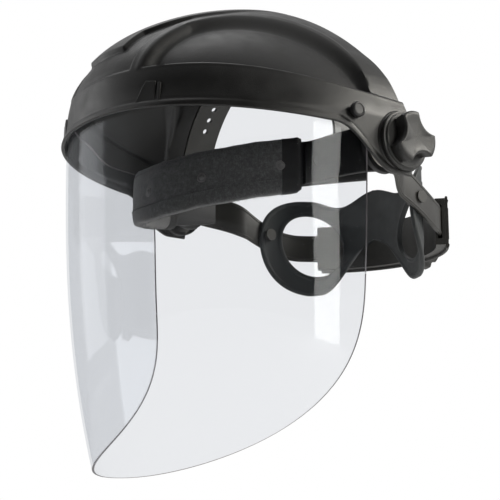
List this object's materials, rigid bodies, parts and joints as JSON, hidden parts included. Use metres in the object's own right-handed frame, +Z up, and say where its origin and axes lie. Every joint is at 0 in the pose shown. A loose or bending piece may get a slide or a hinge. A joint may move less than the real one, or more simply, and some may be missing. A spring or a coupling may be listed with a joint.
{
  "type": "face shield",
  "caption": "Tilting brow guard with a clear wrap-round visor, side clamping knobs and an adjustable head harness with a nape ratchet.",
  "frame": {"origin": "on the tilt axis of the guard, midway between the two side knobs", "axes": "-Y towards the front of the shield, +X to the wearer's left, +Z up"},
  "size_m": [0.2632, 0.2882, 0.3086],
  "materials": {
    "guard_shell": "fine moulded grain",
    "clear_visor": "clear polycarbonate",
    "black_plastic": "satin",
    "knob_plastic": "fine moulded grain",
    "brass": "turned",
    "steel": "zinc plated",
    "washer_fibre": "pale acetal",
    "felt": "brushed felt over foam",
    "slate_rubber": "matte moulded"
  },
  "bodies": {
    "harness": {"pivot_bolt_left": "steel", "pivot_bolt_right": "steel", "friction_washer_left": "washer_fibre", "friction_washer_right": "washer_fibre", "side_arm_left": "black_plastic", "side_arm_right": "black_plastic", "forehead_band": "black_plastic", "sweatband": "felt", "sweatband_studs": "black_plastic", "crown_strap_left": "black_plastic", "crown_strap_right": "black_plastic", "crown_pegs": "black_plastic", "crown_rivets": "steel", "rear_strap_left": "black_plastic", "rear_strap_right": "black_plastic", "strap_rivet_left": "steel", "strap_rivet_right": "steel", "band_rivets": "steel", "ratchet_housing": "black_plastic", "ratchet_cover": "black_plastic", "ratchet_detent": "steel", "nape_pad": "slate_rubber", "nape_posts": "black_plastic"},
    "guard": {"brow_guard": "guard_shell", "visor": "clear_visor", "visor_clip_left": "black_plastic", "visor_clip_right": "black_plastic"},
    "button_left": {"visor_button_left": "black_plastic"},
    "button_right": {"visor_button_right": "black_plastic"},
    "side_knob_left": {"knob_left": "knob_plastic", "knob_insert_left": "brass"},
    "side_knob_right": {"knob_right": "knob_plastic", "knob_insert_right": "brass"},
    "ratchet_wheel": {"ratchet_knob": "knob_plastic", "ratchet_pinion": "steel"},
    "rack_left_body": {"rack_left": "black_plastic"},
    "rack_right_body": {"rack_right": "black_plastic"}
  },
  "joints": [
    {"name": "guard_tilt", "type": "hinge", "parent": "harness", "child": "guard", "pos_m": [0, 0, 0], "axis": [-1, 0, 0], "range_deg": [0, 80]},
    {"name": "side_knob_left_turn", "type": "hinge", "parent": "harness", "child": "side_knob_left", "pos_m": [0.12, 0, 0], "axis": [1, 0, 0], "range_deg": [0, 180]},
    {"name": "side_knob_right_turn", "type": "hinge", "parent": "harness", "child": "side_knob_right", "pos_m": [-0.12, 0, 0], "axis": [-1, 0, 0], "range_deg": [0, 180]},
    {"name": "button_left_press", "type": "slide", "parent": "guard", "child": "button_left", "axis": [-1, 0, 0], "range_m": [0, 0.0008], "stiffness_N_per_m": 300, "springref_m": -0.001},
    {"name": "button_right_press", "type": "slide", "parent": "guard", "child": "button_right", "axis": [1, 0, 0], "range_m": [0, 0.0008], "stiffness_N_per_m": 300, "springref_m": -0.001},
    {"name": "ratchet_turn", "type": "hinge", "parent": "harness", "child": "ratchet_wheel", "pos_m": [0, 0.131, -0.026], "axis": [0, 1, 0], "range_deg": [-129, 129]},
    {"name": "rack_left_slide", "type": "hinge", "parent": "harness", "child": "rack_left_body", "pos_m": [0, 0.04, -0.026], "axis": [0, 0, 1], "range_deg": [-8, 8]},
    {"name": "rack_right_slide", "type": "hinge", "parent": "harness", "child": "rack_right_body", "pos_m": [0, 0.04, -0.026], "axis": [0, 0, 1], "range_deg": [-8, 8]}
  ],
  "couplings": [
    {"joint": "rack_left_slide", "follows": "ratchet_turn", "ratio": -0.06158},
    {"joint": "rack_right_slide", "follows": "ratchet_turn", "ratio": 0.06158}
  ]
}
